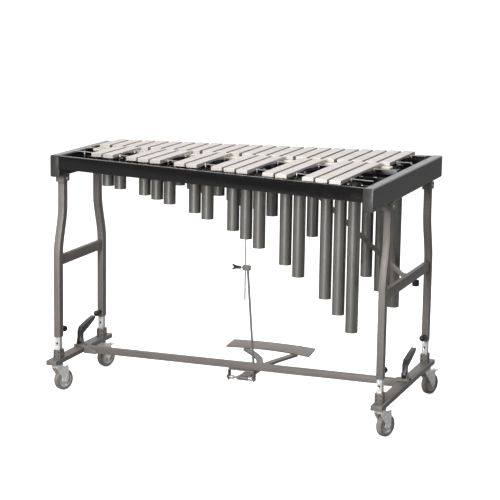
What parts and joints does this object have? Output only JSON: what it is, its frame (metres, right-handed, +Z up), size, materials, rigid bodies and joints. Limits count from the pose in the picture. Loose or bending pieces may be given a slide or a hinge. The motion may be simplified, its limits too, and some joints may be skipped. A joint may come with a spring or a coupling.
{
  "type": "vibraphone",
  "caption": "Concert vibraphone on a height-adjustable stand: tapered black frame, two rows of metal bars over tube resonators, sprung damper pedal, braked casters.",
  "frame": {"origin": "on the floor, at the middle of the lower beam between the two feet", "axes": "+X towards the low notes, along the instrument; +Y towards the player, on the pedal side; +Z up"},
  "size_m": [1.2802, 0.9658, 0.8625],
  "materials": {
    "bronze_paint": "fine hammered grey-bronze enamel",
    "bright_steel": "bright plated",
    "brass_axle": "dull turned",
    "black_paint": "satin black",
    "cap_plastic": "satin moulded",
    "cord": "braided",
    "bar_alloy": "matte silver anodised",
    "resonator_paint": "dark gunmetal satin",
    "black_plastic": "satin moulded",
    "dark_steel": "satin",
    "felt": "dense wool felt",
    "rod_steel": "drawn",
    "hub_plastic": "satin moulded",
    "tyre_rubber": "matte"
  },
  "bodies": {
    "base": {"foot_beam_low": "bronze_paint", "foot_beam_high": "bronze_paint", "lower_beam": "bronze_paint", "beam_end_brackets": "bronze_paint", "leg_sockets": "bronze_paint", "height_tubes": "bright_steel", "pedal_bracket": "bronze_paint", "pedal_axle": "brass_axle", "pedal_spring": "bright_steel"},
    "playing_frame": {"end_rail_low": "black_paint", "end_rail_high": "black_paint", "rail_end_caps": "cap_plastic", "front_rail": "black_paint", "back_rail": "black_paint", "leg_brackets": "bronze_paint", "bar_rails": "black_paint", "cord_posts": "bright_steel", "bar_cords": "cord", "bars_natural_low": "bar_alloy", "bars_natural_high": "bar_alloy", "bars_sharp_low": "bar_alloy", "bars_sharp_high": "bar_alloy", "resonators_natural": "resonator_paint", "resonators_sharp": "resonator_paint", "resonator_strips": "resonator_paint", "legs_low": "bronze_paint", "legs_high": "bronze_paint", "crossbars": "bronze_paint", "diagonal_brace": "bronze_paint", "frame_bolts": "bright_steel"},
    "pedal": {"pedal_plate": "bronze_paint", "pedal_arms": "bronze_paint"},
    "lower_rod": {"pull_rod": "bronze_paint", "rod_clamp": "bronze_paint"},
    "thumbscrew": {"rod_thumbscrew": "black_plastic"},
    "damper": {"damper_channel": "dark_steel", "damper_felt": "felt", "damper_rod": "rod_steel"},
    "knob_brace": {"brace_knob": "black_plastic"},
    "lever_low": {"clamp_lever_low": "black_plastic"},
    "lever_high": {"clamp_lever_high": "black_plastic"},
    "knob_front_low": {"leg_knob_front_low": "black_plastic"},
    "knob_back_low": {"leg_knob_back_low": "black_plastic"},
    "knob_front_high": {"leg_knob_front_high": "black_plastic"},
    "knob_back_high": {"leg_knob_back_high": "black_plastic"},
    "caster_1": {"caster_fork_1": "bright_steel"},
    "wheel_1": {"wheel_hub_1": "hub_plastic", "tyre_1": "tyre_rubber"},
    "caster_2": {"caster_fork_2": "bright_steel"},
    "wheel_2": {"wheel_hub_2": "hub_plastic", "tyre_2": "tyre_rubber"},
    "brake_lever_2": {"brake_2": "bright_steel"},
    "caster_3": {"caster_fork_3": "bright_steel"},
    "wheel_3": {"wheel_hub_3": "hub_plastic", "tyre_3": "tyre_rubber"},
    "caster_4": {"caster_fork_4": "bright_steel"},
    "wheel_4": {"wheel_hub_4": "hub_plastic", "tyre_4": "tyre_rubber"},
    "brake_lever_4": {"brake_4": "bright_steel"}
  },
  "joints": [
    {"name": "frame_height", "type": "slide", "parent": "base", "child": "playing_frame", "axis": [0, 0, 1], "range_m": [0, 0.1]},
    {"name": "pedal_press", "type": "hinge", "parent": "base", "child": "pedal", "pos_m": [0.028, -0.014, 0.072], "axis": [1, 0, 0], "range_deg": [-7, 0], "stiffness_Nm_per_rad": 60, "springref_deg": 17.19},
    {"name": "rod_travel", "type": "slide", "parent": "base", "child": "lower_rod", "axis": [0, 0, 1], "range_m": [-0.006, 0]},
    {"name": "damper_drop", "type": "slide", "parent": "playing_frame", "child": "damper", "axis": [0, 0, 1], "range_m": [-0.006, 0]},
    {"name": "thumbscrew_turn", "type": "hinge", "parent": "lower_rod", "child": "thumbscrew", "pos_m": [0, 0.026, 0.4605], "axis": [1, 0, 0], "range_deg": [0, 180]},
    {"name": "brace_knob_turn", "type": "hinge", "parent": "playing_frame", "child": "knob_brace", "pos_m": [0.608, 0.121, 0.44], "axis": [0, 0, 1], "range_deg": [0, 180]},
    {"name": "lever_low_swing", "type": "hinge", "parent": "base", "child": "lever_low", "pos_m": [0.612, 0, 0.142], "axis": [1, 0, 0], "range_deg": [0, 70]},
    {"name": "lever_high_swing", "type": "hinge", "parent": "base", "child": "lever_high", "pos_m": [-0.612, 0, 0.142], "axis": [1, 0, 0], "range_deg": [0, 70]},
    {"name": "knob_front_low_turn", "type": "hinge", "parent": "playing_frame", "child": "knob_front_low", "pos_m": [0.608, -0.291, 0.217], "axis": [0, 1, 0], "range_deg": [0, 180]},
    {"name": "knob_back_low_turn", "type": "hinge", "parent": "playing_frame", "child": "knob_back_low", "pos_m": [0.608, 0.285, 0.217], "axis": [0, -1, 0], "range_deg": [0, 180]},
    {"name": "knob_front_high_turn", "type": "hinge", "parent": "playing_frame", "child": "knob_front_high", "pos_m": [-0.608, -0.184, 0.217], "axis": [0, 1, 0], "range_deg": [0, 180]},
    {"name": "knob_back_high_turn", "type": "hinge", "parent": "playing_frame", "child": "knob_back_high", "pos_m": [-0.608, 0.177, 0.217], "axis": [0, -1, 0], "range_deg": [0, 180]},
    {"name": "caster_1_swivel", "type": "hinge", "parent": "base", "child": "caster_1", "pos_m": [-0.612, -0.184, 0.1], "axis": [0, 0, 1], "continuous": true},
    {"name": "wheel_1_roll", "type": "hinge", "parent": "caster_1", "child": "wheel_1", "pos_m": [-0.60142, -0.16025, 0.0375], "axis": [-0.9135, 0.4067, 0], "continuous": true},
    {"name": "caster_2_swivel", "type": "hinge", "parent": "base", "child": "caster_2", "pos_m": [-0.612, 0.177, 0.1], "axis": [0, 0, 1], "continuous": true},
    {"name": "wheel_2_roll", "type": "hinge", "parent": "caster_2", "child": "wheel_2", "pos_m": [-0.60142, 0.20075, 0.0375], "axis": [-0.9135, 0.4067, 0], "continuous": true},
    {"name": "brake_2_press", "type": "hinge", "parent": "caster_2", "child": "brake_lever_2", "pos_m": [-0.5998, 0.20441, 0.083], "axis": [-0.9135, 0.4067, 0], "range_deg": [0, 10]},
    {"name": "caster_3_swivel", "type": "hinge", "parent": "base", "child": "caster_3", "pos_m": [0.612, -0.291, 0.1], "axis": [0, 0, 1], "continuous": true},
    {"name": "wheel_3_roll", "type": "hinge", "parent": "caster_3", "child": "wheel_3", "pos_m": [0.62258, -0.26725, 0.0375], "axis": [-0.9135, 0.4067, 0], "continuous": true},
    {"name": "caster_4_swivel", "type": "hinge", "parent": "base", "child": "caster_4", "pos_m": [0.612, 0.285, 0.1], "axis": [0, 0, 1], "continuous": true},
    {"name": "wheel_4_roll", "type": "hinge", "parent": "caster_4", "child": "wheel_4", "pos_m": [0.62258, 0.30875, 0.0375], "axis": [-0.9135, 0.4067, 0], "continuous": true},
    {"name": "brake_4_press", "type": "hinge", "parent": "caster_4", "child": "brake_lever_4", "pos_m": [0.6242, 0.31241, 0.083], "axis": [-0.9135, 0.4067, 0], "range_deg": [0, 10]}
  ],
  "couplings": [
    {"joint": "rod_travel", "follows": "pedal_press", "m_per_rad": 0.04},
    {"joint": "damper_drop", "follows": "pedal_press", "m_per_rad": 0.04}
  ]
}
